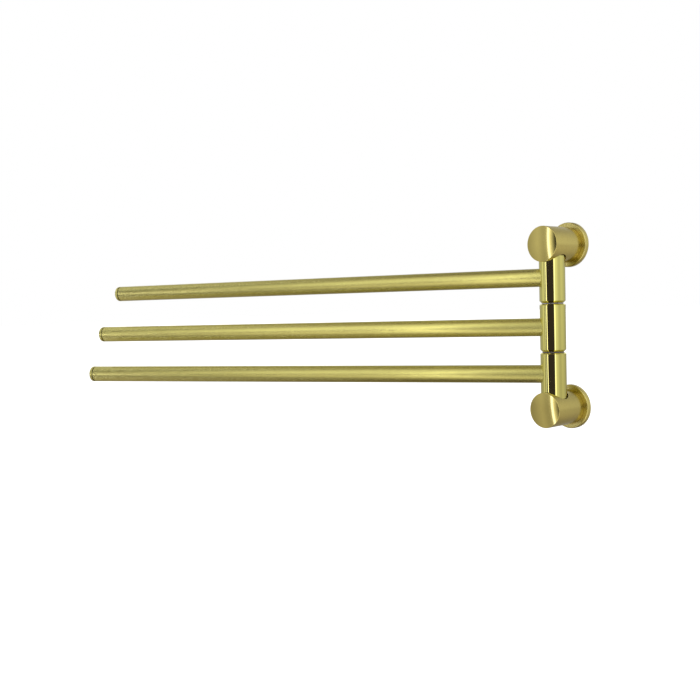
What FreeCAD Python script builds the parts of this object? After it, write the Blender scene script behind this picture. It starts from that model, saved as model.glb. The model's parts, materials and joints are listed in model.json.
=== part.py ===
import FreeCAD, Part
import os

import Sketcher
from FreeCAD import Placement, Rotation, Vector

# Swing arm towel bar: two round posts stand out from the wall, one above the other.
# A vertical spindle joins them and carries three barrels, and each barrel swings one bar.
# Millimetres.  The wall is the plane y = 0, the room is towards -Y, +Z is up, and the
# origin lies on the wall midway between the two posts.  The bars reach towards -X.

SIZES = {
    # posts
    "post_diameter": 24.7,
    "post_spacing": 115.3,          # from one post's axis to the other's
    "projection": 33.0,             # wall to the flat front of a post
    "post_edge_bevel": 0.5,
    "column_offset": 21.3,          # wall to the axis that the bars swing about
    "recess_diameter": 19.4,        # pocket in each post that takes a barrel's end
    "seat_from_post_axis": 6.1,     # floor of that pocket, from the post's axis
    # flanges that cover the wall brackets
    "flange_diameter": 31.5,
    "flange_thickness": 3.5,
    "flange_skin": 0.9,
    "flange_edge_radius": 0.9,
    # wall brackets
    "bracket_diameter": 26.0,
    "bracket_thickness": 2.5,
    "bracket_clearance": 0.3,       # round the bracket, inside the flange
    "boss_diameter": 10.0,
    "boss_length": 10.0,
    "boss_bevel": 0.5,
    "boss_clearance": 0.05,
    "boss_end_gap": 0.5,
    "wall_screw_spacing": 17.6,
    "wall_screw_hole": 4.0,
    "wall_screw_countersink": 7.0,
    # set screws that lock the posts to the brackets
    "set_screw_diameter": 4.0,
    "set_screw_clearance": 0.03,
    "set_screw_length": 6.0,
    "set_screw_from_flange": 4.5,
    "set_screw_point": 1.1,         # height of the bevelled point
    "set_screw_key": 2.0,           # hexagon socket, across flats
    "set_screw_key_depth": 2.2,
    "locking_groove_depth": 0.8,
    # spindle
    "spindle_diameter": 8.0,
    "spindle_clearance": 0.03,
    "spindle_depth": 8.0,           # how far each end goes into its post
    "spindle_end_gap": 0.3,
    "spindle_bevel": 0.6,
    # barrels
    "barrel_diameter": 17.9,
    "barrel_bore": 12.0,
    "barrel_length": 33.05,
    "barrel_top_bevel": 0.7,
    "barrel_bottom_bevel": 1.3,
    # flanged bushes, one in each end of a barrel
    "bush_flange_diameter": 14.8,
    "bush_flange_thickness": 0.4,
    "bush_sleeve_length": 9.0,
    "bush_fit": 0.01,
    "running_clearance": 0.05,
    "running_gap": 0.15,            # between one bush's flange and the next
    # bars
    "bar_diameter": 12.7,
    "bar_wall": 1.0,
    "bar_reach": 383.2,             # column axis to the tip
    "cope_clearance": 0.03,         # between a bar's hollowed end and its barrel
    "bar_end_bevel": 0.25,
    # studs and inserts that hold a bar to its barrel
    "stud_diameter": 6.0,
    "stud_clearance": 0.03,
    "stud_tip": 22.0,               # column axis to the stud's outer end
    "stud_bevel": 0.4,
    "insert_start": 9.3,
    "insert_length": 15.0,
    "insert_fit": 0.01,
    # end caps
    "cap_head": 3.0,
    "cap_seam": 0.25,               # shadow gap between bar and cap
    "cap_spigot_length": 7.0,
    "cap_edge_radius": 1.0,
    # each arm: swing out from the wall in degrees, and bar height above mid-barrel
    "lower_swing": 29.2,
    "lower_rise": 1.5,
    "middle_swing": 26.9,
    "middle_rise": 0.4,
    "upper_swing": 23.3,
    "upper_rise": 1.1,
}
ARMS = ("lower", "middle", "upper")     # in order up the spindle
MATCH = 1e-4                            # tolerance when an edge is looked up by its place

# Formulas that several pieces share, written over the sheet's cells.
POST_RADIUS = "Size.post_diameter / 2"
HALF_SPACING = "Size.post_spacing / 2"
SEAT_HEIGHT = "(Size.post_spacing / 2 - Size.seat_from_post_axis)"
BARREL_PITCH = "(Size.barrel_length + 2 * Size.bush_flange_thickness + Size.running_gap)"
LOWEST_BARREL = (f"(Size.running_gap + Size.bush_flange_thickness + Size.barrel_length / 2"
                 f" - {SEAT_HEIGHT})")
SET_SCREW_FROM_WALL = "(Size.flange_thickness + Size.set_screw_from_flange)"
BAR_BORE_RADIUS = "(Size.bar_diameter / 2 - Size.bar_wall)"
CAP_START = "(Size.bar_reach - Size.cap_head)"

doc = FreeCAD.newDocument("swing_arm_towel_bar")
subparts = []


def make_sheet():
    """The sheet of driving dimensions: a name and a plain number on each row."""
    sheet = doc.addObject("Spreadsheet::Sheet", "Size")
    for row, (name, value) in enumerate(SIZES.items(), start=1):
        sheet.set(f"A{row}", name)
        sheet.set(f"B{row}", str(value))
        sheet.setAlias(f"B{row}", name)
    doc.recompute()
    return sheet


# ---------------------------------------------------------------- building blocks

def new_body(name):
    body = doc.addObject("PartDesign::Body", name)
    body.Label = name
    subparts.append(body)
    return body


def place(body, axis=Vector(0, 0, 1), angle="0", **position):
    """Put a body in the assembly: a turn about one axis, then a move by x, y and z."""
    body.Placement = Placement(Vector(), Rotation(axis, 0))
    body.setExpression("Placement.Rotation.Angle", angle)
    for letter, formula in position.items():
        body.setExpression(f"Placement.Base.{letter}", formula)


def new_sketch(body, plane, offset="0"):
    """An empty sketch on one of the body's own origin planes, moved along its normal."""
    sketch = body.newObject("Sketcher::SketchObject", f"{body.Name}_sketch")
    support = next(item for item in body.Origin.OriginFeatures if item.Role == plane)
    sketch.AttachmentSupport = (support, [""])
    sketch.MapMode = "FlatFace"
    sketch.setExpression("AttachmentOffset.Base.z", offset)
    return sketch


def constrain(sketch, name, formula, *arguments):
    """Add a dimension and bind it to a formula over the sheet."""
    index = sketch.addConstraint(Sketcher.Constraint(*arguments))
    sketch.renameConstraint(index, name)
    sketch.setExpression(f"Constraints.{name}", formula)


def add_circle(sketch, radius, centre=None):
    """A circle on the sketch's origin, or at a centre given as (x, y) formulas."""
    circle = sketch.addGeometry(Part.Circle(Vector(), Vector(0, 0, 1), 1), False)
    constrain(sketch, f"radius{circle}", radius, "Radius", circle, 1.0)
    if centre is None:
        sketch.addConstraint(Sketcher.Constraint("Coincident", circle, 3, -1, 1))
    else:
        constrain(sketch, f"x{circle}", centre[0], "DistanceX", -1, 1, circle, 3, 0.0)
        constrain(sketch, f"y{circle}", centre[1], "DistanceY", -1, 1, circle, 3, 0.0)


def add_outline(sketch, corners, rough):
    """A closed outline of straight lines through corners given as (x, y) formulas.

    rough holds the same corners as numbers near their real places, to start from.
    """
    count = len(corners)
    for index in range(count):
        start = Vector(*rough[index], 0)
        end = Vector(*rough[(index + 1) % count], 0)
        sketch.addGeometry(Part.LineSegment(start, end), False)
    for index, (x, y) in enumerate(corners):
        before = (index - 1) % count
        sketch.addConstraint(Sketcher.Constraint("Coincident", before, 2, index, 1))
        constrain(sketch, f"x{index}", x, "DistanceX", -1, 1, index, 1, rough[index][0])
        constrain(sketch, f"y{index}", y, "DistanceY", -1, 1, index, 1, rough[index][1])


def pad(body, sketch, length, reverse=False):
    feature = body.newObject("PartDesign::Pad", f"{body.Name}_pad")
    feature.Profile = sketch
    feature.Reversed = reverse
    feature.setExpression("Length", length)
    doc.recompute()
    return feature


def pocket(body, sketch, length=None, reverse=False, both_ways=False):
    """Cut the sketch into the body: against its normal, or along it when reversed."""
    before = body.Shape.Volume
    feature = body.newObject("PartDesign::Pocket", f"{body.Name}_pocket")
    feature.Profile = sketch
    feature.Reversed = reverse
    feature.Midplane = both_ways
    if length is None:
        feature.Type = "ThroughAll"
    else:
        feature.setExpression("Length", length)
    doc.recompute()
    check_cut(body, before)
    return feature


def spin(body, sketch, kind):
    """Turn the sketch about its own upright axis: Revolution adds and Groove cuts."""
    before = body.Shape.Volume if kind == "Groove" else None
    feature = body.newObject(f"PartDesign::{kind}", f"{body.Name}_{kind.lower()}")
    feature.Profile = sketch
    feature.ReferenceAxis = (sketch, ["V_Axis"])
    feature.Angle = 360
    doc.recompute()
    if before is not None:
        check_cut(body, before)
    return feature


def check_cut(body, before):
    if body.Shape.Volume > before - MATCH:
        raise RuntimeError(f"{body.Label}: a cut removed nothing")


def find_rims(body, along, place_along, radius):
    """Names of the full round edges of one radius at one place along X, Y or Z."""
    names = []
    for number, edge in enumerate(body.Shape.Edges, start=1):
        if edge.Curve.TypeId != "Part::GeomCircle":
            continue
        same_place = abs(getattr(edge.Curve.Center, along) - place_along) < MATCH
        if same_place and abs(edge.Curve.Radius - radius) < MATCH:
            names.append(f"Edge{number}")
    if not names:
        raise RuntimeError(f"{body.Label}: no rim of radius {radius} at {along} {place_along}")
    return names


def dress(body, kind, rims, size):
    """A Fillet or Chamfer on the named edges."""
    tip = body.Tip
    feature = body.newObject(f"PartDesign::{kind}", f"{body.Name}_{kind.lower()}")
    feature.Base = (tip, rims)
    feature.setExpression("Radius" if kind == "Fillet" else "Size", size)
    doc.recompute()
    return feature


# ---------------------------------------------------------------- fixed pieces

def make_post(name, side, sheet):
    """A solid round post.  side is the way its pocket faces: -1 down, +1 up."""
    body = new_body(name)
    length = "Size.projection - Size.flange_thickness"
    seat = f"{side} * Size.seat_from_post_axis"
    column = ("0", "-Size.column_offset")

    blank = new_sketch(body, "XZ_Plane", "Size.flange_thickness")
    add_circle(blank, POST_RADIUS)
    pad(body, blank, length)
    front = find_rims(body, "y", -sheet.projection, sheet.post_diameter / 2)
    dress(body, "Chamfer", front, "Size.post_edge_bevel")

    recess = new_sketch(body, "XY_Plane", seat)
    add_circle(recess, "Size.recess_diameter / 2", column)
    pocket(body, recess, reverse=side > 0)

    spindle_hole = new_sketch(body, "XY_Plane", seat)
    add_circle(spindle_hole, "Size.spindle_diameter / 2 + Size.spindle_clearance", column)
    pocket(body, spindle_hole, "Size.spindle_depth", reverse=side < 0)

    boss_hole = new_sketch(body, "XZ_Plane", "Size.flange_thickness")
    add_circle(boss_hole, "Size.boss_diameter / 2 + Size.boss_clearance")
    depth = ("Size.bracket_thickness + Size.boss_length + Size.boss_end_gap"
             " - Size.flange_thickness")
    pocket(body, boss_hole, depth, reverse=True)

    screw_hole = new_sketch(body, "XY_Plane", f"-{POST_RADIUS}")
    add_circle(screw_hole, "Size.set_screw_diameter / 2", ("0", f"-{SET_SCREW_FROM_WALL}"))
    pocket(body, screw_hole, POST_RADIUS, reverse=True)

    place(body, z=f"-({side}) * {HALF_SPACING}")


def make_flange(name, side, sheet):
    """A thin round cup against the wall that hides the bracket behind the post."""
    body = new_body(name)
    blank = new_sketch(body, "XZ_Plane")
    add_circle(blank, "Size.flange_diameter / 2")
    pad(body, blank, "Size.flange_thickness")
    front = find_rims(body, "y", -sheet.flange_thickness, sheet.flange_diameter / 2)
    dress(body, "Fillet", front, "Size.flange_edge_radius")

    hollow = new_sketch(body, "XZ_Plane")
    add_circle(hollow, "Size.bracket_diameter / 2 + Size.bracket_clearance")
    pocket(body, hollow, "Size.flange_thickness - Size.flange_skin", reverse=True)

    boss_hole = new_sketch(body, "XZ_Plane")
    add_circle(boss_hole, "Size.boss_diameter / 2 + Size.bracket_clearance")
    pocket(body, boss_hole, reverse=True)
    place(body, z=f"-({side}) * {HALF_SPACING}")


def make_wall_bracket(name, side, sheet):
    """A round plate screwed to the wall, with a boss that carries the post."""
    body = new_body(name)
    plate = new_sketch(body, "XZ_Plane")
    add_circle(plate, "Size.bracket_diameter / 2")
    pad(body, plate, "Size.bracket_thickness")

    boss = new_sketch(body, "XZ_Plane", "Size.bracket_thickness")
    add_circle(boss, "Size.boss_diameter / 2")
    pad(body, boss, "Size.boss_length")
    boss_end = -(sheet.bracket_thickness + sheet.boss_length)
    dress(body, "Chamfer", find_rims(body, "y", boss_end, sheet.boss_diameter / 2),
          "Size.boss_bevel")

    # A V groove round the boss takes the set screw's point.
    groove = new_sketch(body, "XY_Plane")
    floor = "Size.boss_diameter / 2 - Size.locking_groove_depth"
    outside = "Size.boss_diameter / 2 + 0.2"
    half_floor = "Size.set_screw_diameter / 4"
    half_mouth = f"({half_floor} + Size.locking_groove_depth + 0.2)"
    corners = [(floor, f"-{SET_SCREW_FROM_WALL} - {half_floor}"),
               (outside, f"-{SET_SCREW_FROM_WALL} - {half_mouth}"),
               (outside, f"-{SET_SCREW_FROM_WALL} + {half_mouth}"),
               (floor, f"-{SET_SCREW_FROM_WALL} + {half_floor}")]
    add_outline(groove, corners, [(4, -9), (5, -10), (5, -6), (4, -7)])
    spin(body, groove, "Groove")

    screw_places = new_sketch(body, "XZ_Plane", "Size.bracket_thickness")
    for sign in ("-", ""):
        add_circle(screw_places, "Size.wall_screw_hole / 2",
                   (f"{sign}Size.wall_screw_spacing / 2", "0"))
    doc.recompute()
    holes = body.newObject("PartDesign::Hole", f"{name}_holes")
    holes.Profile = screw_places
    doc.recompute()
    holes.ThreadType = "None"
    holes.DepthType = "ThroughAll"
    holes.setExpression("Diameter", "Size.wall_screw_hole")
    holes.HoleCutType = "Countersink"
    holes.HoleCutCustomValues = True
    holes.setExpression("HoleCutDiameter", "Size.wall_screw_countersink")
    holes.HoleCutCountersinkAngle = 90
    doc.recompute()
    place(body, z=f"-({side}) * {HALF_SPACING}")


def make_set_screw(name, side, sheet):
    """A headless screw with a bevelled point upwards and a hexagon socket below."""
    body = new_body(name)
    blank = new_sketch(body, "XY_Plane")
    add_circle(blank, "Size.set_screw_diameter / 2 - Size.set_screw_clearance")
    pad(body, blank, "Size.set_screw_length")
    radius = sheet.set_screw_diameter / 2 - sheet.set_screw_clearance
    dress(body, "Chamfer", find_rims(body, "z", sheet.set_screw_length, radius),
          "Size.set_screw_point")

    socket = new_sketch(body, "XY_Plane")
    half_key = "Size.set_screw_key / 2"
    corner = f"{half_key} / cos(30 deg)"
    corners = [(corner, "0"), (f"{corner} / 2", half_key), (f"-{corner} / 2", half_key),
               (f"-{corner}", "0"), (f"-{corner} / 2", f"-{half_key}"),
               (f"{corner} / 2", f"-{half_key}")]
    add_outline(socket, corners, [(1.2, 0), (0.6, 1), (-0.6, 1), (-1.2, 0), (-0.6, -1), (0.6, -1)])
    pocket(body, socket, "Size.set_screw_key_depth", reverse=True)

    point_height = "(Size.boss_diameter / 2 - Size.locking_groove_depth + 0.05)"
    place(body, y=f"-{SET_SCREW_FROM_WALL}",
          z=f"-({side}) * {HALF_SPACING} - {point_height} - Size.set_screw_length")


def make_spindle(sheet):
    """The upright pin that joins the posts and that all the barrels turn on."""
    body = new_body("spindle")
    half_length = f"({SEAT_HEIGHT} + Size.spindle_depth - Size.spindle_end_gap)"
    section = new_sketch(body, "XY_Plane", f"-{half_length}")
    add_circle(section, "Size.spindle_diameter / 2")
    pad(body, section, f"2 * {half_length}")
    end = (sheet.post_spacing / 2 - sheet.seat_from_post_axis
           + sheet.spindle_depth - sheet.spindle_end_gap)
    radius = sheet.spindle_diameter / 2
    rims = find_rims(body, "z", -end, radius) + find_rims(body, "z", end, radius)
    dress(body, "Chamfer", rims, "Size.spindle_bevel")
    place(body, y="-Size.column_offset")


# ---------------------------------------------------------------- swinging pieces
# Each piece of an arm is drawn with the column axis as its Z axis and the bar along
# its X axis, and then turned to where the arm stands.

def place_on_arm(body, arm, height):
    place(body, angle=f"180 + Size.{arm}_swing", y="-Size.column_offset", z=height)


def make_barrel(arm, height, sheet):
    """A tube round the spindle, with a threaded hole in its side for the bar's stud."""
    body = new_body(f"{arm}_barrel")
    section = new_sketch(body, "XY_Plane", "-Size.barrel_length / 2")
    add_circle(section, "Size.barrel_diameter / 2")
    add_circle(section, "Size.barrel_bore / 2")
    pad(body, section, "Size.barrel_length")
    radius = sheet.barrel_diameter / 2
    top = find_rims(body, "z", sheet.barrel_length / 2, radius)
    dress(body, "Chamfer", top, "Size.barrel_top_bevel")
    bottom = find_rims(body, "z", -sheet.barrel_length / 2, radius)
    dress(body, "Chamfer", bottom, "Size.barrel_bottom_bevel")

    stud_hole = new_sketch(body, "YZ_Plane")
    add_circle(stud_hole, "Size.stud_diameter / 2", ("0", f"Size.{arm}_rise"))
    pocket(body, stud_hole, reverse=True)
    place_on_arm(body, arm, height)


def make_bush(arm, end, height):
    """A flanged sleeve in one end of a barrel.  end is +1 at the top, -1 at the bottom."""
    body = new_body(f"{arm}_{'top' if end > 0 else 'bottom'}_bush")
    section = new_sketch(body, "XZ_Plane")
    inside = "Size.spindle_diameter / 2 + Size.running_clearance"
    sleeve = "Size.barrel_bore / 2 - Size.bush_fit"
    rim = "Size.bush_flange_diameter / 2"
    corners = [(inside, "-Size.bush_sleeve_length"), (sleeve, "-Size.bush_sleeve_length"),
               (sleeve, "0"), (rim, "0"),
               (rim, "Size.bush_flange_thickness"), (inside, "Size.bush_flange_thickness")]
    add_outline(section, corners, [(4, -9), (6, -9), (6, 0), (7, 0), (7, 0.5), (4, 0.5)])
    spin(body, section, "Revolution")
    place(body, axis=Vector(1, 0, 0), angle="0" if end > 0 else "180",
          y="-Size.column_offset", z=f"{height} + {end} * Size.barrel_length / 2")


def make_bar(arm, height, sheet):
    """A round tube, hollowed at one end to sit against its barrel."""
    body = new_body(f"{arm}_bar")
    section = new_sketch(body, "YZ_Plane")
    add_circle(section, "Size.bar_diameter / 2")
    add_circle(section, BAR_BORE_RADIUS)
    pad(body, section, f"{CAP_START} - Size.cap_seam")
    outer_end = sheet.bar_reach - sheet.cap_head - sheet.cap_seam
    dress(body, "Chamfer", find_rims(body, "x", outer_end, sheet.bar_diameter / 2),
          "Size.bar_end_bevel")

    cope = new_sketch(body, "XY_Plane")
    add_circle(cope, "Size.barrel_diameter / 2 + Size.cope_clearance")
    pocket(body, cope, "2 * Size.bar_diameter", both_ways=True)
    place_on_arm(body, arm, height)


def make_insert(arm, height):
    """A threaded plug pressed into the bar's inner end."""
    body = new_body(f"{arm}_bar_insert")
    section = new_sketch(body, "YZ_Plane", "Size.insert_start")
    add_circle(section, f"{BAR_BORE_RADIUS} - Size.insert_fit")
    add_circle(section, "Size.stud_diameter / 2")
    pad(body, section, "Size.insert_length")
    place_on_arm(body, arm, height)


def make_stud(arm, height, sheet):
    """The threaded rod between barrel and insert."""
    body = new_body(f"{arm}_bar_stud")
    start = "(Size.barrel_bore / 2 + Size.stud_bevel)"
    section = new_sketch(body, "YZ_Plane", start)
    add_circle(section, "Size.stud_diameter / 2 - Size.stud_clearance")
    pad(body, section, f"Size.stud_tip - {start}")
    radius = sheet.stud_diameter / 2 - sheet.stud_clearance
    dress(body, "Chamfer", find_rims(body, "x", sheet.stud_tip, radius), "Size.stud_bevel")
    place_on_arm(body, arm, height)


def make_end_cap(arm, height, sheet):
    """A round-edged cap whose spigot plugs the bar's outer end."""
    body = new_body(f"{arm}_end_cap")
    head = new_sketch(body, "YZ_Plane", CAP_START)
    add_circle(head, "Size.bar_diameter / 2")
    pad(body, head, "Size.cap_head")
    radius = sheet.bar_diameter / 2
    dress(body, "Fillet", find_rims(body, "x", sheet.bar_reach, radius), "Size.cap_edge_radius")
    inner = find_rims(body, "x", sheet.bar_reach - sheet.cap_head, radius)
    dress(body, "Chamfer", inner, "Size.bar_end_bevel")

    spigot = new_sketch(body, "YZ_Plane", CAP_START)
    add_circle(spigot, f"{BAR_BORE_RADIUS} - Size.insert_fit")
    pad(body, spigot, "Size.cap_spigot_length", reverse=True)
    place_on_arm(body, arm, height)


def make_arm(arm, level, sheet):
    """One barrel and the bar that it carries, level 0 being the lowest."""
    barrel_height = f"({LOWEST_BARREL} + {level} * {BARREL_PITCH})"
    bar_height = f"{barrel_height} + Size.{arm}_rise"
    make_barrel(arm, barrel_height, sheet)
    make_bush(arm, 1, barrel_height)
    make_bush(arm, -1, barrel_height)
    make_bar(arm, bar_height, sheet)
    make_insert(arm, bar_height)
    make_stud(arm, bar_height, sheet)
    make_end_cap(arm, bar_height, sheet)


# ---------------------------------------------------------------- build and export

def check_document():
    for item in doc.Objects:
        if "Invalid" in item.State or "Error" in item.State:
            raise RuntimeError(f"{item.Name} failed: {item.State}")
    for body in subparts:
        shape = body.Shape
        if shape.isNull() or not shape.isValid() or len(shape.Solids) != 1:
            raise RuntimeError(f"{body.Label}: not one valid solid")


def export_subparts():
    os.makedirs("parts", exist_ok=True)
    for body in subparts:
        body.Shape.exportStep(f"parts/{body.Label}.step")
        print(f"{body.Label}: {body.Shape.Volume:.1f} mm3")


size_sheet = make_sheet()
for post_place, pocket_side in (("upper", -1), ("lower", 1)):
    make_post(f"{post_place}_post", pocket_side, size_sheet)
    make_flange(f"{post_place}_flange", pocket_side, size_sheet)
    make_wall_bracket(f"{post_place}_wall_bracket", pocket_side, size_sheet)
    make_set_screw(f"{post_place}_set_screw", pocket_side, size_sheet)
make_spindle(size_sheet)
for arm_level, arm_name in enumerate(ARMS):
    make_arm(arm_name, arm_level, size_sheet)
doc.recompute()
check_document()
export_subparts()
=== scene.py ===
import json
import math

import bmesh
import bpy
from mathutils import Matrix, Vector


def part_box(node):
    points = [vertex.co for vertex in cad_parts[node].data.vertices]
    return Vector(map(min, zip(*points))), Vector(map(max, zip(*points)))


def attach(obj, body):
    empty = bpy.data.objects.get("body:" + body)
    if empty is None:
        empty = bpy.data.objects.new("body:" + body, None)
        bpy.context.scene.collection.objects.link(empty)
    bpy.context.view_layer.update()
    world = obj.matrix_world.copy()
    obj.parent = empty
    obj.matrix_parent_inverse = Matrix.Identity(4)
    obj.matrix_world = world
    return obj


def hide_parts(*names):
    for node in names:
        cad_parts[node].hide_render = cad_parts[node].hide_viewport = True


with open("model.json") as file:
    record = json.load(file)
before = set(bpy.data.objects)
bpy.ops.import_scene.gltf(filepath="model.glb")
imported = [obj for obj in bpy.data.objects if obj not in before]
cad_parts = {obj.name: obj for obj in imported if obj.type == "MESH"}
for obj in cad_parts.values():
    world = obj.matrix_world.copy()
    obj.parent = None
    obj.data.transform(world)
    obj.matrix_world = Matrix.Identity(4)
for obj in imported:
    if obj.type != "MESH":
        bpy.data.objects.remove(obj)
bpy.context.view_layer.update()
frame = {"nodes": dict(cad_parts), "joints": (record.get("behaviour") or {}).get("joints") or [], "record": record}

# Metres and degrees.  The wall is the plane y = 0, the room is towards -Y and +Z is up.
# The three barrels stand on one upright axis, the column, and each carries a bar.
COLUMN = Vector(frame["joints"][0]["pos_m"])
ARMS = ("upper", "middle", "lower")
POST_SIGNS = {"upper": 1, "lower": -1}      # which way each post lies from the middle

# ---------------------------------------------------------------- camera

CAMERA_PLACE = (0.3675, -0.5302, 0.0198)
CAMERA_YAW = 48.94          # turned to the left of +Y
CAMERA_PITCH = -2.99
CAMERA_ROLL = -1.61
CAMERA_LENS_MM = 44.97
CAMERA_SENSOR_MM = 36.0
CAMERA_CLIP = (0.01, 50.0)
CAMERA_AZIMUTH = 35.8       # of the camera about the column, from -Y towards +X


def make_camera():
    data = bpy.data.cameras.new("camera")
    data.lens = CAMERA_LENS_MM
    data.sensor_width = CAMERA_SENSOR_MM
    data.clip_start, data.clip_end = CAMERA_CLIP
    camera = bpy.data.objects.new("camera", data)
    bpy.context.scene.collection.objects.link(camera)
    turn = (Matrix.Rotation(math.radians(CAMERA_YAW), 4, "Z")
            @ Matrix.Rotation(math.radians(90 + CAMERA_PITCH), 4, "X")
            @ Matrix.Rotation(math.radians(CAMERA_ROLL), 4, "Z"))
    camera.matrix_world = Matrix.Translation(CAMERA_PLACE) @ turn
    bpy.context.scene.camera = camera


# ---------------------------------------------------------------- node helpers

class Nodes:
    """A material's or world's node tree, with short calls to add and join nodes."""

    def __init__(self, owner):
        owner.use_nodes = True
        self.tree = owner.node_tree
        self.tree.nodes.clear()

    def add(self, kind, **settings):
        node = self.tree.nodes.new(kind)
        for name, value in settings.items():
            setattr(node, name, value)
        return node

    def feed(self, socket, value):
        """Join an output to a socket, or set the socket to a number, vector or colour."""
        if isinstance(value, bpy.types.NodeSocket):
            self.tree.links.new(value, socket)
        elif socket.type == "RGBA":
            socket.default_value = (*value, 1.0)
        else:
            socket.default_value = value

    def math(self, operation, *values):
        node = self.add("ShaderNodeMath", operation=operation)
        for socket, value in zip(node.inputs, values):
            self.feed(socket, value)
        return node.outputs["Value"]

    def vector(self, operation, *values):
        node = self.add("ShaderNodeVectorMath", operation=operation)
        for socket, value in zip(node.inputs, values):
            self.feed(socket, value)
        return node.outputs["Value" if operation == "LENGTH" else "Vector"]

    def split(self, vector):
        """The X, Y and Z of a vector."""
        node = self.add("ShaderNodeSeparateXYZ")
        self.feed(node.inputs[0], vector)
        return node.outputs

    def ramp(self, factor, stops):
        """A colour ramp with stops of (place, colour)."""
        node = self.add("ShaderNodeValToRGB")
        elements = node.color_ramp.elements
        while len(elements) < len(stops):
            elements.new(1.0)
        for element, (place, colour) in zip(elements, stops):
            element.position = place
            element.color = (*colour, 1.0)
        self.feed(node.inputs["Fac"], factor)
        return node.outputs["Color"]

    def remap(self, value, low, high, to_low, to_high):
        node = self.add("ShaderNodeMapRange")
        for name, number in (("Value", value), ("From Min", low), ("From Max", high),
                             ("To Min", to_low), ("To Max", to_high)):
            self.feed(node.inputs[name], number)
        return node.outputs["Result"]

    def mix(self, factor, first, second, blend="MIX"):
        node = self.add("ShaderNodeMix", data_type="RGBA", blend_type=blend)
        for socket, value in ((node.inputs[0], factor), (node.inputs[6], first),
                              (node.inputs[7], second)):
            self.feed(socket, value)
        return node.outputs[2]

    def coordinates(self):
        """The place on the piece, in metres along its own axes."""
        return self.add("ShaderNodeTexCoord").outputs["Object"]

    def noise(self, pattern, stretch=(1, 1, 1)):
        """Noise over a piece.  pattern is (scale, detail, roughness)."""
        mapping = self.add("ShaderNodeMapping")
        self.feed(mapping.inputs["Scale"], stretch)
        self.feed(mapping.inputs["Vector"], self.coordinates())
        node = self.add("ShaderNodeTexNoise")
        self.feed(node.inputs["Vector"], mapping.outputs["Vector"])
        for name, number in zip(("Scale", "Detail", "Roughness"), pattern):
            self.feed(node.inputs[name], number)
        return node.outputs["Fac"]

    def show(self, shader, output="ShaderNodeOutputMaterial"):
        self.feed(self.add(output).inputs["Surface"], shader.outputs[0])


def grey(value):
    return (value, value, value)


# ---------------------------------------------------------------- stage and light

TENT_RADIUS = 4.0
TENT_SEGMENTS = 96
FLOOR_HEIGHT = -0.42
FLOOR_SIZE = 60.0
FLOOR_GREY = 0.86
FLOOR_LIFT = 0.45           # its own light, which only the camera sees

# What the tent shows at eye level: (degrees to the right of the camera, brightness).
TENT_ROUND = (
    (-180, 0.52), (-109, 0.68), (-95, 0.88), (-86, 1.25), (-83.5, 1.15), (-81.7, 0.50),
    (-75.8, 0.72), (-74.0, 0.77), (-72.1, 0.65), (-70.3, 0.59), (-68.4, 0.68), (-66.2, 1.60),
    (-65.2, 0.90), (-64.2, 0.45), (-63.2, 0.08), (-56, 0.15), (-52, 0.60), (-47, 0.86),
    (-41, 1.15), (-35, 1.30), (-30, 1.10), (-24, 0.90), (10, 0.90), (26, 1.30), (40, 1.12),
    (53, 0.86), (66, 0.78), (85, 0.95), (108, 0.82), (124, 0.66), (137, 0.56), (180, 0.55))
# Its tone from straight down to straight up, as a share of eye level.
TENT_UPRIGHT = (
    (-90, (0.02, 0.014, 0.008)), (-78, (0.05, 0.036, 0.022)), (-62, (0.32, 0.27, 0.21)),
    (-44, (0.70, 0.64, 0.57)), (-18, (0.84, 0.81, 0.77)), (-6, (0.84, 0.82, 0.80)),
    (0, (0.97, 0.97, 0.97)), (4, (1.04, 1.04, 1.04)), (36, (1.0, 1.0, 1.0)),
    (56, (0.85, 0.82, 0.78)), (71, (0.28, 0.24, 0.19)), (90, (0.20, 0.17, 0.13)))

# Patches of the tent, each as (degrees round), (degrees up), brightness and (soft edges
# round and up).  In front is a tall pale opening, and across it a dark slot.
OPENING = ((-21.0, 12.0), (-46, 44), 0.62, (3.0, 4.0))
SLOT = ((-54.0, 11.5), (-8.2, 4.2), 0.052, (1.2, 0.6))
# These lights are added to what they cover.
GLOWS = (
    ((-28.8, -25.8), (-58, 52), 1.10, (1.3, 6.0)),      # the opening's left edge
    ((-28.6, -26.6), (-30, 30), 1.90, (1.0, 15.0)),     # and the middle of that edge
    ((-22.0, 10.0), (-54, -38), 1.10, (4.0, 3.0)),      # its foot
    ((-20.0, 10.0), (46, 62), 0.30, (4.0, 4.0)),        # its head
    ((-7.0, 14.0), (-46, -12), 0.75, (2.5, 3.0)),       # its right half, below the slot
    ((-7.0, 14.0), (8, 46), 0.75, (2.5, 3.0)),          # and above the slot
    ((-49.0, -32.0), (-22, 17), 0.24, (3.0, 5.0)),      # beside the opening
    ((135, 165), (10, 28), 1.00, (5.0, 3.0)),           # low behind, on the right
    ((-165, -112), (10, 28), 0.80, (10.0, 3.0)))        # and on the left
# These lights hide what they cover: one at each end of the slot, and a stripe that the
# posts' fronts reflect.
LEFT_STRIP = ((-57.0, -50.8), (-8.6, 4.6), 3.0, (0.6, 0.6))
RIGHT_STRIP = ((15.0, 21.5), (-9, 5), 3.0, (2.5, 0.6))
FACE_STRIPE = ((-67.9, -66.5), (-60, 60), 2.6, (0.3, 3.0))
SLOT_TINT = (1.0, 0.80, 1.25)
STRIP_TINT = (1.0, 0.98, 1.15)
FACE_TINT = (1.0, 1.05, 1.60)
# What leans moves this many degrees to the left for each degree up.
TENT_LEAN = 0.09
LEFT_STRIP_LEAN = 0.65


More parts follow.
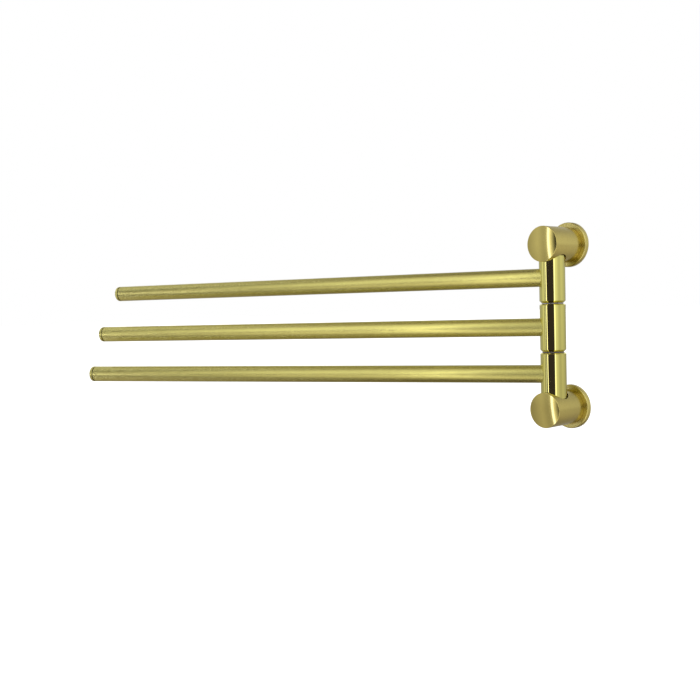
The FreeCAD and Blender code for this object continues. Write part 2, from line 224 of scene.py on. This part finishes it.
def tent_patch(nodes, azimuth, elevation, patch):
    """A mask that is 1 inside a patch of the tent and 0 outside its soft edges."""
    round_span, up_span, _, softness = patch
    mask = 1.0
    for angle, (start, end), soft in zip((azimuth, elevation), (round_span, up_span), softness):
        rise = nodes.remap(angle, start - soft, start + soft, 0, 1)
        fall = nodes.remap(angle, end - soft, end + soft, 1, 0)
        mask = nodes.math("MULTIPLY", mask, nodes.math("MULTIPLY", rise, fall))
    return mask


def make_tent_material():
    """Light painted on the tent by its direction from the column."""
    material = bpy.data.materials.new("tent")
    nodes = Nodes(material)
    in_degrees = 180 / math.pi
    x, y, z = nodes.split(nodes.coordinates())
    height = nodes.math("DIVIDE", z, TENT_RADIUS)
    elevation = nodes.math("MULTIPLY", nodes.math("ARCSINE", height), in_degrees)
    azimuth = nodes.math("ARCTAN2", x, nodes.math("MULTIPLY", y, -1.0))
    from_camera = nodes.math("SUBTRACT", nodes.math("MULTIPLY", azimuth, in_degrees),
                             CAMERA_AZIMUTH)
    around = nodes.math("WRAP", from_camera, 180.0, -180.0)
    leaning, leaning_more = (
        nodes.math("ADD", around, nodes.math("MULTIPLY", elevation, lean))
        for lean in (TENT_LEAN, LEFT_STRIP_LEAN))

    brightest = max(value for _, value in TENT_ROUND)
    glow = nodes.ramp(nodes.remap(leaning, -180, 180, 0, 1),
                      [((a + 180) / 360, grey(v / brightest)) for a, v in TENT_ROUND])
    upright = nodes.ramp(nodes.remap(elevation, -90, 90, 0, 1),
                         [((e + 90) / 180, tone) for e, tone in TENT_UPRIGHT])
    glow = nodes.mix(1.0, glow, upright, "MULTIPLY")
    glow = nodes.mix(1.0, glow, grey(brightest), "MULTIPLY")
    glow = nodes.mix(tent_patch(nodes, around, elevation, OPENING), glow, grey(OPENING[2]))
    for patch in GLOWS:
        mask = tent_patch(nodes, around, elevation, patch)
        glow = nodes.mix(mask, glow, grey(patch[2]), "ADD")
    for angle, patch, tint in ((around, SLOT, SLOT_TINT),
                               (leaning, FACE_STRIPE, FACE_TINT),
                               (leaning_more, LEFT_STRIP, STRIP_TINT),
                               (around, RIGHT_STRIP, STRIP_TINT)):
        colour = tuple(channel * patch[2] for channel in tint)
        glow = nodes.mix(tent_patch(nodes, angle, elevation, patch), glow, colour)
    emission = nodes.add("ShaderNodeEmission")
    nodes.feed(emission.inputs["Color"], glow)
    nodes.show(emission)
    return material


def make_tent():
    """A round light tent that only reflections see."""
    bpy.ops.mesh.primitive_uv_sphere_add(segments=TENT_SEGMENTS, ring_count=TENT_SEGMENTS // 2,
                                         radius=TENT_RADIUS, location=COLUMN)
    tent = bpy.context.object
    tent.name = "tent"
    tent.data.materials.append(make_tent_material())
    tent.visible_camera = False
    tent.visible_diffuse = False
    tent.visible_shadow = False


def make_floor():
    """A matt floor well below the bars, white to the camera and unseen in reflections."""
    material = bpy.data.materials.new("floor")
    nodes = Nodes(material)
    diffuse = nodes.add("ShaderNodeBsdfDiffuse")
    nodes.feed(diffuse.inputs["Color"], grey(FLOOR_GREY))
    lift = nodes.add("ShaderNodeEmission")
    seen = nodes.add("ShaderNodeLightPath").outputs["Is Camera Ray"]
    nodes.feed(lift.inputs["Strength"], nodes.math("MULTIPLY", seen, FLOOR_LIFT))
    both = nodes.add("ShaderNodeAddShader")
    for socket, shader in zip(both.inputs, (diffuse, lift)):
        nodes.feed(socket, shader.outputs[0])
    nodes.show(both)
    bpy.ops.mesh.primitive_plane_add(size=FLOOR_SIZE, location=(0, 0, FLOOR_HEIGHT))
    floor = bpy.context.object
    floor.name = "floor"
    floor.data.materials.append(material)
    floor.visible_glossy = False


def make_world():
    """Plain white light from all round, for whatever doesn't reflect the tent."""
    world = bpy.data.worlds.new("world")
    bpy.context.scene.world = world
    nodes = Nodes(world)
    background = nodes.add("ShaderNodeBackground")
    nodes.feed(background.inputs["Color"], grey(1.0))
    nodes.feed(background.inputs["Strength"], 1.0)
    nodes.show(background, "ShaderNodeOutputWorld")


# ---------------------------------------------------------------- materials

# Each brass has a clean tone and a cloudy one.
BARREL_TONES = ((0.60, 0.553, 0.165), (0.57, 0.52, 0.15))
POST_TONES = ((0.60, 0.50, 0.155), (0.54, 0.44, 0.13))
POST_FACE_TONES = ((0.60, 0.50, 0.155), (0.56, 0.46, 0.14))
FLANGE_TONES = ((0.60, 0.51, 0.165), (0.56, 0.47, 0.15))
BAR_TONES = ((0.60, 0.552, 0.178), (0.55, 0.495, 0.15))
# painted shade for the inside of the groove at each end cap
SEAM_SHADE_TONES = ((0.10, 0.075, 0.035), (0.07, 0.05, 0.02))
NYLON_TONES = ((0.135, 0.115, 0.095), (0.175, 0.152, 0.128))
NYLON_ROUGHNESS = (0.40, 0.55)
# Each steel has a colour and a roughness.
STEELS = {
    "bracket_steel": ((0.62, 0.63, 0.64), 0.38),
    "spindle_steel": ((0.60, 0.60, 0.60), 0.16),
    "screw_steel": ((0.50, 0.50, 0.51), 0.28),
    "insert_steel": ((0.56, 0.56, 0.57), 0.30),
}
STEEL_SHADE = 0.8           # its grain's darker tone, as a share of its colour
# How far the roughness varies either way, as a share of itself.
BRASS_UNEVEN = 0.05
STEEL_UNEVEN = 0.15

# Noise patterns, as (scale, detail, roughness), and the span that most of their values fill.
CLOUDS = (260.0, 4.0, 0.6)
CLOUD_SPAN = (0.35, 0.7)
STREAKS = (500.0, 3.0, 0.6)
STEEL_GRAIN = (900.0, 3.0, 0.6)
NYLON_GRAIN = (1500.0, 2.0, 0.5)
GRAIN_SPAN = (0.3, 0.7)

ALONG_BAR = (0.05, 1, 1)    # draws the streaks out along a bar
ROUND_PIN = (1, 1, 12)      # and squeezes steel's grain into rings round an upright pin

# The painted shade in the corner round each post on its flange: radii, tone, and how high up it reaches.
CORNER_SHADE_RADII = (0.0124, 0.0128)
CORNER_SHADE_TONE = (0.45, 0.31, 0.09)
CORNER_SHADE_TOP = (0.8 * CORNER_SHADE_RADII[0], CORNER_SHADE_RADII[0])


def painted_light_tones(tones, share):
    """Both tones of a brass, times a share: painted light and shade."""
    return tuple(tuple(channel * share for channel in tone) for tone in tones)


def new_shader(name, metallic):
    """A material with one shader, as (material, its nodes, the shader)."""
    material = bpy.data.materials.new(name)
    nodes = Nodes(material)
    shader = nodes.add("ShaderNodeBsdfPrincipled")
    nodes.feed(shader.inputs["Metallic"], metallic)
    nodes.show(shader)
    return material, nodes, shader


def polish(nodes, shader, grain, roughness, uneven):
    """Let the roughness follow the grain, by a share of itself either way."""
    varied = nodes.remap(grain, *GRAIN_SPAN, (1 - uneven) * roughness, (1 + uneven) * roughness)
    nodes.feed(shader.inputs["Roughness"], varied)


def brush_round_x(nodes, shader, brushed, lean):
    """Spread reflections round the piece's X axis, and tip their shine along it by lean."""
    nodes.feed(shader.inputs["Anisotropic"], brushed)
    around = nodes.add("ShaderNodeTangent", direction_type="RADIAL", axis="X")
    nodes.feed(shader.inputs["Tangent"], around.outputs[0])
    tip = nodes.add("ShaderNodeVectorTransform", vector_type="VECTOR",
                    convert_from="OBJECT", convert_to="WORLD")
    nodes.feed(tip.inputs[0], (lean, 0, 0))
    normal = nodes.add("ShaderNodeNewGeometry").outputs["Normal"]
    tipped = nodes.vector("NORMALIZE", nodes.vector("ADD", normal, tip.outputs[0]))
    nodes.feed(shader.inputs["Normal"], tipped)


def paint_corner_shade(nodes, tone):
    """A darker ring about the piece's Z axis, which fades outwards and at the top: painted shade where the flange
    meets the post.
    """
    place = nodes.coordinates()
    radius = nodes.vector("LENGTH", nodes.vector("MULTIPLY", place, (1, 1, 0)))
    ring = nodes.remap(radius, *CORNER_SHADE_RADII, 1, 0)
    below_top = nodes.remap(nodes.split(place)["Y"], *CORNER_SHADE_TOP, 1, 0)
    return nodes.mix(nodes.math("MULTIPLY", ring, below_top), tone, CORNER_SHADE_TONE)


def make_brass(name, tones, roughness, mottle, stretch=(1, 1, 1), brushed=0.0, lean=0.0,
               corner=False):
    """Brass with a cloudy tone, as strong as mottle, and a slightly streaky polish."""
    material, nodes, shader = new_shader(name, metallic=1.0)
    if brushed:
        brush_round_x(nodes, shader, brushed, lean)
    cloud = nodes.remap(nodes.noise(CLOUDS), *CLOUD_SPAN, 0.0, mottle)
    tone = nodes.mix(cloud, *tones)
    # corner paints shade into the tone in the corner round the post
    if corner:
        tone = paint_corner_shade(nodes, tone)
    nodes.feed(shader.inputs["Base Color"], tone)
    polish(nodes, shader, nodes.noise(STREAKS, stretch), roughness, BRASS_UNEVEN)
    return material


def make_steel(name, colour, roughness):
    """Turned steel, darker and duller along its grain."""
    material, nodes, shader = new_shader(name, metallic=1.0)
    grain = nodes.noise(STEEL_GRAIN, ROUND_PIN)
    darker = tuple(channel * STEEL_SHADE for channel in colour)
    nodes.feed(shader.inputs["Base Color"], nodes.mix(grain, colour, darker))
    polish(nodes, shader, grain, roughness, STEEL_UNEVEN)
    return material


def make_nylon():
    """Dark nylon with a fine grain."""
    material, nodes, shader = new_shader("nylon", metallic=0.0)
    grain = nodes.noise(NYLON_GRAIN)
    nodes.feed(shader.inputs["Base Color"], nodes.mix(grain, *NYLON_TONES))
    nodes.feed(shader.inputs["Roughness"], nodes.remap(grain, *GRAIN_SPAN, *NYLON_ROUGHNESS))
    return material


def dress_nodes():
    """Give the steel and nylon pieces their materials.  The brass ones are replaced below."""
    looks = {slot: make_steel(slot, *finish) for slot, finish in STEELS.items()}
    looks["bush_nylon"] = make_nylon()
    for part in frame["record"]["subparts"]:
        if part["material_slot"] in looks:
            mesh = frame["nodes"][part["node"]].data
            mesh.materials.clear()
            mesh.materials.append(looks[part["material_slot"]])


# ---------------------------------------------------------------- turned pieces

TURNED_SIDES = 192
SHARP_ANGLE = 30


def round_corner(centre, radius, start, end, steps=6):
    """Points (radius, height) along a rounded corner, from one direction to another."""
    points = []
    for step in range(steps + 1):
        angle = math.radians(start + (end - start) * step / steps)
        points.append((centre[0] + radius * math.cos(angle),
                       centre[1] + radius * math.sin(angle)))
    return points


def turn_mesh(name, profile, closed=False):
    """A mesh turned about +Z from (radius, height) points; radius 0 is on the axis."""
    form = bmesh.new()
    rings = []
    for radius, height in profile:
        sides = TURNED_SIDES if radius else 1
        rings.append([form.verts.new((radius * math.cos(2 * math.pi * side / sides),
                                      radius * math.sin(2 * math.pi * side / sides), height))
                      for side in range(sides)])
    following = rings[1:] + rings[:1] if closed else rings[1:]
    for first, second in zip(rings, following):
        for side in range(TURNED_SIDES):
            beside = (side + 1) % TURNED_SIDES
            corners = (first[side % len(first)], first[beside % len(first)],
                       second[beside % len(second)], second[side % len(second)])
            form.faces.new(tuple(dict.fromkeys(corners)))
    bmesh.ops.recalc_face_normals(form, faces=form.faces)
    mesh = bpy.data.meshes.new(name)
    form.to_mesh(mesh)
    form.free()
    return mesh


def add_piece(name, mesh, matrix):
    piece = bpy.data.objects.new(name, mesh)
    bpy.context.scene.collection.objects.link(piece)
    piece.matrix_world = matrix
    return piece


def cut_holes(piece, holes):
    """Bore round holes in a piece; each is (mouth, direction, radius, depth)."""
    drills = []
    for mouth, direction, radius, depth in holes:
        mesh = turn_mesh("drill", [(0, 0), (radius, 0), (radius, depth), (0, depth)])
        turn = Vector(direction).to_track_quat("Z", "Y").to_matrix().to_4x4()
        drill = add_piece("drill", mesh, Matrix.Translation(mouth) @ turn)
        cutter = piece.modifiers.new("cut", "BOOLEAN")
        cutter.operation = "DIFFERENCE"
        cutter.solver = "EXACT"
        cutter.object = drill
        drills.append(drill)
    bpy.context.view_layer.update()
    whole = piece.evaluated_get(bpy.context.evaluated_depsgraph_get())
    mesh = bpy.data.meshes.new_from_object(whole)
    piece.modifiers.clear()
    piece.data = mesh
    for drill in drills:
        bpy.data.objects.remove(drill)


def finish_piece(piece, looks, node, body, second_from=None):
    """Shade and dress a piece and put it in its node's place.

    What lies beyond second_from along the piece's Z axis takes the second look.
    """
    mesh = piece.data
    mesh.shade_smooth()
    mesh.set_sharp_from_angle(angle=math.radians(SHARP_ANGLE))
    mesh.materials.clear()
    for look in looks:
        mesh.materials.append(look)
    if second_from is not None:
        for polygon in mesh.polygons:
            polygon.material_index = int(polygon.center.z > second_from)
    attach(piece, body)
    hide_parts(node)


# ---------------------------------------------------------------- barrels

BARREL_RADIUS = 0.00895
BARREL_BORE = 0.0060
BARREL_TOP_BEVEL = 0.0007
BARREL_BOTTOM_BEVEL = 0.0013


def make_barrel(arm, look):
    """A tube with bevelled ends, as high as its node."""
    low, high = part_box(f"{arm}_barrel")
    length = high.z - low.z
    profile = [(BARREL_BORE, 0), (BARREL_RADIUS - BARREL_BOTTOM_BEVEL, 0),
               (BARREL_RADIUS, BARREL_BOTTOM_BEVEL), (BARREL_RADIUS, length - BARREL_TOP_BEVEL),
               (BARREL_RADIUS - BARREL_TOP_BEVEL, length), (BARREL_BORE, length)]
    name = f"{arm}_barrel_tube"
    piece = add_piece(name, turn_mesh(name, profile, closed=True),
                      Matrix.Translation((COLUMN.x, COLUMN.y, low.z)))
    finish_piece(piece, [look], f"{arm}_barrel", f"{arm}_arm")


def make_barrels():
    look = make_brass("barrel_brass", BARREL_TONES, roughness=0.04, mottle=0.2)
    for arm in ARMS:
        make_barrel(arm, look)


# ---------------------------------------------------------------- posts and flanges

TO_ROOM = Matrix.Rotation(math.radians(90), 4, "X")     # +Z of a turned piece becomes -Y
POST_HEIGHT = 0.05765       # the posts' axes are this far above and below the middle
POST_RADIUS = 0.01235
POST_FRONT = 0.0330
POST_DOME = 0.16            # radius of the fronts, which are very slightly round
POST_DOME_RINGS = (0.998, 0.98, 0.9, 0.75, 0.6, 0.45, 0.3, 0.15, 0)     # shares of the way out
POST_EDGE = 0.00025
POST_EDGE_TURN = 86         # degrees from the side round to the dome
FLANGE_RADIUS = 0.01575
FLANGE_DEPTH = 0.0035
FLANGE_SKIN = 0.0009
FLANGE_EDGE = 0.0009
FLANGE_HOLLOW = 0.0133
FLANGE_FACE_RINGS = (0.00002, 0.0005)   # inside the rounded edge, to keep the face's shading flat
BOSS_HOLE = 0.0053
BOSS_BORE = (0.00505, 0.0130)       # radius, and its floor's distance from the wall
RECESS_BORE = (0.0097, 0.05155)     # radius, and its floor's distance from the middle
SPINDLE_BORE = (0.00403, 0.05955)   # the same
SET_SCREW_BORE = (0.00203, 0.0080)  # radius, and its distance from the wall

# The posts' sides are painted darker by these shares, the lower one more: painted shade, as lit and shaded copies
# of one brass.
POST_PAINTED_LIGHT = {"upper": 0.96, "lower": 0.84}


def dome_height(radius):
    """How far a post's front lies from the wall, at a radius from its axis."""
    return POST_FRONT - radius ** 2 / (2 * POST_DOME)


def make_post(level, looks):
    """A round post with its four bores; its side and its front have a look each."""
    sign = POST_SIGNS[level]
    inner = POST_RADIUS - POST_EDGE
    edge_start = dome_height(inner) - POST_EDGE
    profile = [(0, FLANGE_DEPTH), (POST_RADIUS, FLANGE_DEPTH)]
    profile += round_corner((inner, edge_start), POST_EDGE, 0, POST_EDGE_TURN)
    profile += [(inner * share, dome_height(inner * share)) for share in POST_DOME_RINGS]
    name = f"{level}_post_turned"
    axis_height = sign * POST_HEIGHT
    piece = add_piece(name, turn_mesh(name, profile),
                      Matrix.Translation((0, 0, axis_height)) @ TO_ROOM)
    column_foot = (COLUMN.x, COLUMN.y, 0)
    screw_radius, screw_place = SET_SCREW_BORE
    cut_holes(piece, [
        (column_foot, (0, 0, sign), *RECESS_BORE),
        (column_foot, (0, 0, sign), *SPINDLE_BORE),
        ((0, 0, axis_height), (0, -1, 0), *BOSS_BORE),
        ((0, -screw_place, axis_height - 2 * POST_RADIUS), (0, 0, 1), screw_radius,
         2 * POST_RADIUS)])
    finish_piece(piece, looks, f"{level}_post", "wall_frame",
                 second_from=edge_start)


def make_flange(level, look):
    """A thin round cover with a rounded edge, hollow behind for the bracket."""
    edge = FLANGE_RADIUS - FLANGE_EDGE
    under = FLANGE_DEPTH - FLANGE_SKIN
    profile = [(FLANGE_HOLLOW, 0), (FLANGE_RADIUS, 0)]
    profile += round_corner((edge, FLANGE_DEPTH - FLANGE_EDGE), FLANGE_EDGE, 0, 90, steps=10)
    profile += [(edge - inset, FLANGE_DEPTH) for inset in FLANGE_FACE_RINGS]
    profile += [(BOSS_HOLE, FLANGE_DEPTH), (BOSS_HOLE, under), (FLANGE_HOLLOW, under)]
    name = f"{level}_flange_turned"
    piece = add_piece(name, turn_mesh(name, profile, closed=True),
                      Matrix.Translation((0, 0, POST_SIGNS[level] * POST_HEIGHT)) @ TO_ROOM)
    finish_piece(piece, [look], f"{level}_flange", "wall_frame")


def make_posts():
    front_look = make_brass("post_face_brass", POST_FACE_TONES, roughness=0.045, mottle=0.4)
    # The flange's brass has painted shade in its corner round each post.
    flange_look = make_brass("flange_brass", FLANGE_TONES, roughness=0.30, mottle=0.4,
                             corner=True)
    for level, painted_light in POST_PAINTED_LIGHT.items():
        # Each post's side is painted darker by its share: painted shade.
        side_look = make_brass(f"{level}_post_brass", painted_light_tones(POST_TONES, painted_light),
                               roughness=0.22, mottle=0.4)
        make_post(level, [side_look, front_look])
        make_flange(level, flange_look)


# ---------------------------------------------------------------- bars

BAR_RADIUS = 0.00635
BAR_BORE = 0.00535
BAR_BEVEL = 0.00025
BAR_REACH = 0.38320         # column axis to the tip of the end cap
COPE_RADIUS = 0.00898       # the hollow that sits against the barrel
COPE_END = COPE_RADIUS + 0.001      # column axis to the first ring past the hollow
BAR_SIDES = 128
BAR_RINGS = 40
CAP_HEAD = 0.0025
CAP_SEAM = 0.00075          # the groove between bar and cap, its floor painted dark as shade
CAP_EDGE = 0.0010
CAP_FACE_RING = 1.3 * CAP_EDGE      # inside the rounded edge, to keep the face's shading flat
CAP_SPIGOT = (0.0052, 0.0070)       # radius and length

# Each bar: how far its shine leans along it, and how bright its brass is painted, as painted light on lit copies
# of one brass.
BAR_LEAN_AND_PAINTED_LIGHT = {"upper": (-0.021, 1.02), "middle": (-0.008, 1.13), "lower": (0.043, 1.01)}


def bar_frame(arm):
    """The frame of a bar at rest: its origin on the column and its X axis out to the tip."""
    low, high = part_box(f"{arm}_bar")
    joint = next(item for item in frame["joints"] if item["name"] == f"{arm}_swing")
    swing = math.radians(-joint["range_deg"][0])
    return (Matrix.Translation((COLUMN.x, COLUMN.y, (low.z + high.z) / 2))
            @ Matrix.Rotation(math.pi + swing, 4, "Z"))


def bar_rings():
    """Rings along a bar: (radius, distance from the column), None where the cope cuts."""
    end = BAR_REACH - CAP_HEAD - CAP_SEAM
    rings = [(BAR_BORE, end), (BAR_BORE, COPE_END), (BAR_BORE, None), (BAR_RADIUS, None)]
    for step in range(BAR_RINGS + 1):
        rings.append((BAR_RADIUS, COPE_END + (end - BAR_BEVEL - COPE_END) * step / BAR_RINGS))
    rings.append((BAR_RADIUS - BAR_BEVEL, end))
    return rings


def bar_point(radius, distance, side):
    """A point of a ring; where no distance is given it lies on the cope."""
    angle = 2 * math.pi * side / BAR_SIDES
    across = radius * math.cos(angle)
    if distance is None:
        distance = math.sqrt(COPE_RADIUS ** 2 - across ** 2)
    return (distance, across, radius * math.sin(angle))


def make_bar(arm, look):
    """A round tube, hollowed at one end against its barrel."""
    rings = bar_rings()
    points = [bar_point(radius, distance, side)
              for radius, distance in rings for side in range(BAR_SIDES)]
    faces = []
    for ring in range(len(rings)):
        following = (ring + 1) % len(rings)
        for side in range(BAR_SIDES):
            beside = (side + 1) % BAR_SIDES
            faces.append((ring * BAR_SIDES + side, ring * BAR_SIDES + beside,
                          following * BAR_SIDES + beside, following * BAR_SIDES + side))
    name = f"{arm}_bar_tube"
    mesh = bpy.data.meshes.new(name)
    mesh.from_pydata(points, [], faces)
    mesh.update()
    bar = add_piece(name, mesh, bar_frame(arm))
    finish_piece(bar, [look], f"{arm}_bar", f"{arm}_arm")


def make_end_cap(arm, looks):
    """A round-edged cap on its spigot, painted dark as shade where the groove shows it."""
    radius, length = CAP_SPIGOT
    start = BAR_REACH - CAP_HEAD
    profile = [(0, start - length), (radius, start - length), (radius, start),
               (BAR_RADIUS - BAR_BEVEL, start), (BAR_RADIUS, start + BAR_BEVEL)]
    profile += round_corner((BAR_RADIUS - CAP_EDGE, BAR_REACH - CAP_EDGE), CAP_EDGE, 0, 90,
                            steps=8)
    profile += [(BAR_RADIUS - CAP_FACE_RING, BAR_REACH), (0, BAR_REACH)]
    name = f"{arm}_end_cap_turned"
    along_bar = bar_frame(arm) @ Matrix.Rotation(math.radians(90), 4, "Y")
    cap = add_piece(name, turn_mesh(name, profile), along_bar)
    finish_piece(cap, looks, f"{arm}_end_cap", f"{arm}_arm",
                 second_from=start + BAR_BEVEL / 4)
    # The mesh takes up the turn, so that its box is as small as the cap.
    cap.data.transform(cap.matrix_world)
    cap.matrix_world = Matrix.Identity(4)


def make_bars():
    cap_look = make_brass("cap_brass", BAR_TONES, roughness=0.22, mottle=0.5)
    seam_shade_look = make_brass("seam_shade_brass", SEAM_SHADE_TONES, roughness=0.45, mottle=0.5)
    for arm, (lean, painted_light) in BAR_LEAN_AND_PAINTED_LIGHT.items():
        # The cap's part inside the groove is painted dark as shade.
        make_end_cap(arm, [seam_shade_look, cap_look])
        # Each bar's brass is painted brighter by its share: painted light.
        look = make_brass(f"{arm}_bar_brass", painted_light_tones(BAR_TONES, painted_light), roughness=0.26,
                          mottle=0.5, stretch=ALONG_BAR, brushed=0.95, lean=lean)
        make_bar(arm, look)


bpy.context.scene.view_settings.view_transform = "Standard"
make_world()
make_camera()
make_tent()
make_floor()
dress_nodes()
make_barrels()
make_posts()
make_bars()
